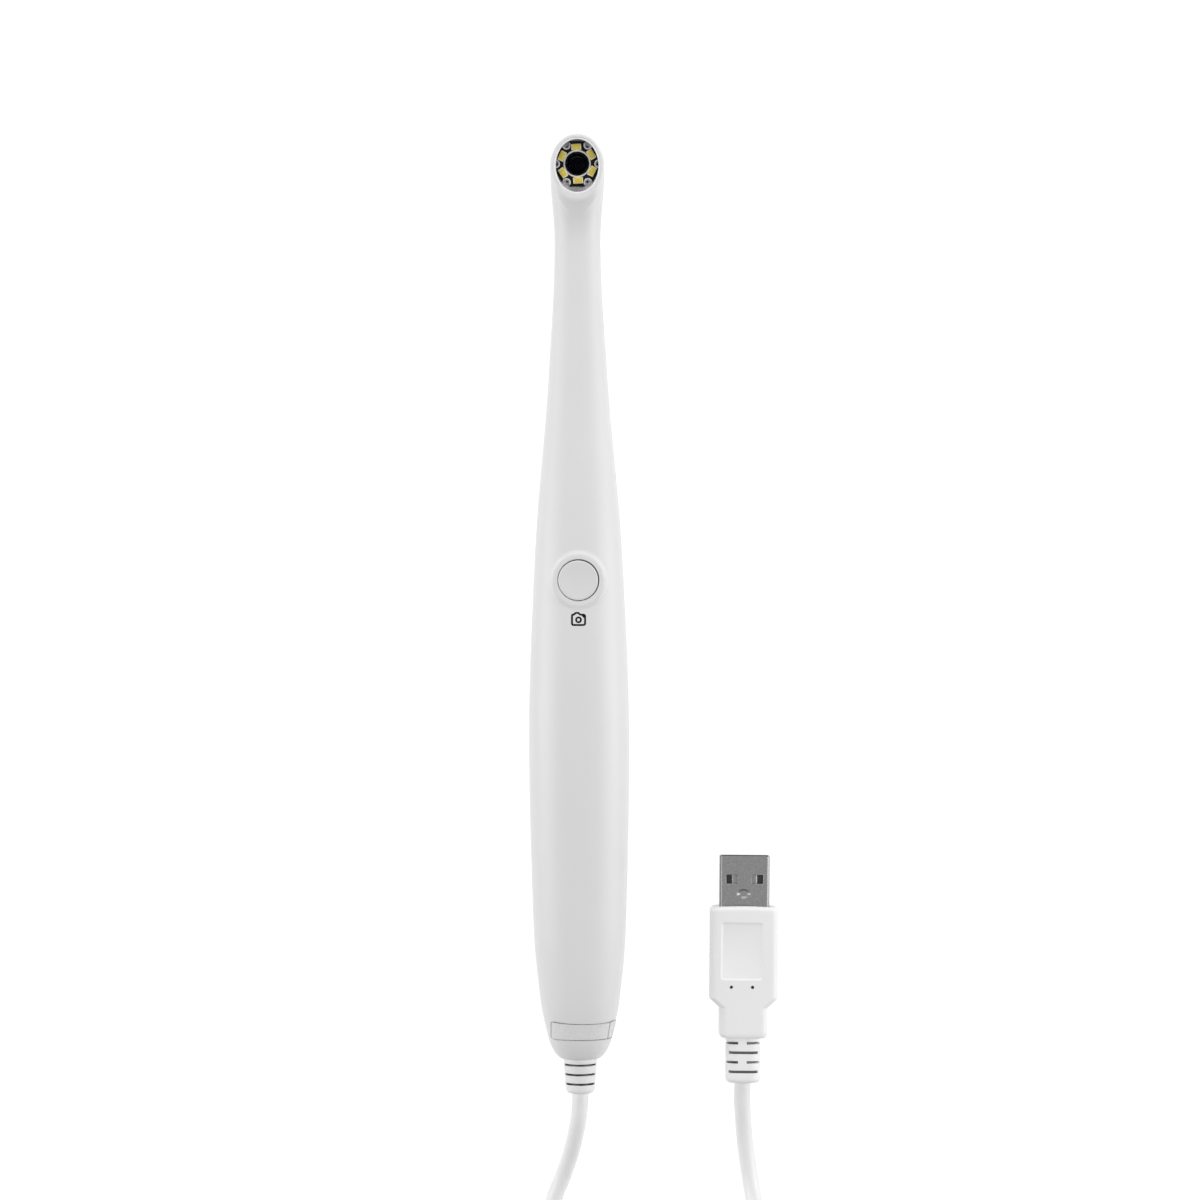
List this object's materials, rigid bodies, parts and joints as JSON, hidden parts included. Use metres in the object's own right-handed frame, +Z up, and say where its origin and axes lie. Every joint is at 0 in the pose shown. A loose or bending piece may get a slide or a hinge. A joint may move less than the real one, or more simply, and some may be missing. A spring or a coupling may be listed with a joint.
{
  "type": "intraoral camera",
  "caption": "Slim wand-shaped intraoral camera with a round lit lens window in its head, a push button on the grip, and a coiled USB lead ending in its plug.",
  "frame": {"origin": "on the surface that the camera lies on, below the centre of the handpiece's own box, cord and plug left out", "axes": "+Y along the handpiece towards its head, +Z up through the lens window and the button, +X to the right when the window is looked at with the head up"},
  "size_m": [0.0621, 0.3216, 0.0212],
  "materials": {
    "white_housing": "satin white moulded ABS",
    "button": "satin pale grey moulded ABS",
    "window": "clear polished pane",
    "lens_glass": "dark coated glass",
    "bare_metal": "plain stamped plate",
    "black_board": "black solder mask",
    "green_board": "green solder mask",
    "light": "yellow phosphor in a pale frame",
    "black_part": "black moulded plastic",
    "white_ring": "white print",
    "flex": "amber film",
    "connector": "natural nylon",
    "screw": "zinc plated",
    "cord": "white PVC jacket",
    "wire": "PVC insulation",
    "relief": "soft white PVC",
    "label": "clear film",
    "plug_grip": "white moulded PVC",
    "plug_metal": "brushed nickel plate",
    "contact": "gold flash",
    "tie": "black hook tape"
  },
  "bodies": {
    "camera": {"front_shell": "white_housing", "rear_shell": "white_housing", "head_window": "window", "carrier_plate": "bare_metal", "led_board": "black_board", "led_1": "light", "led_2": "light", "led_3": "light", "led_4": "light", "led_5": "light", "led_6": "light", "lens_ring": "white_ring", "lens_barrel": "black_part", "front_lens": "lens_glass", "rear_lens": "lens_glass", "ir_filter": "lens_glass", "lens_holder": "black_part", "image_sensor": "black_part", "sensor_board": "green_board", "head_flex": "flex", "flex_socket": "connector", "main_board": "green_board", "image_processor": "black_part", "memory_chip": "black_part", "crystal": "bare_metal", "switch_body": "black_part", "board_screw_1": "screw", "board_screw_2": "screw", "wire_socket": "connector", "wire_housing": "connector", "wire_1": "wire", "wire_2": "wire", "wire_3": "wire", "wire_4": "wire", "strain_relief": "relief", "cord_root": "cord", "tail_label": "label", "cord_lead": "cord", "cord_coil": "cord", "coil_tie": "tie", "cord_plug_lead": "cord", "plug_overmould": "plug_grip", "plug_shell": "plug_metal", "plug_insulator": "black_part", "contact_1": "contact", "contact_2": "contact", "contact_3": "contact", "contact_4": "contact"},
    "button": {"button_cap": "button", "switch_plunger": "black_part"}
  },
  "joints": [
    {"name": "button_press", "type": "slide", "parent": "camera", "child": "button", "axis": [0, 0, -1], "range_m": [0, 0.0004], "stiffness_N_per_m": 600}
  ]
}
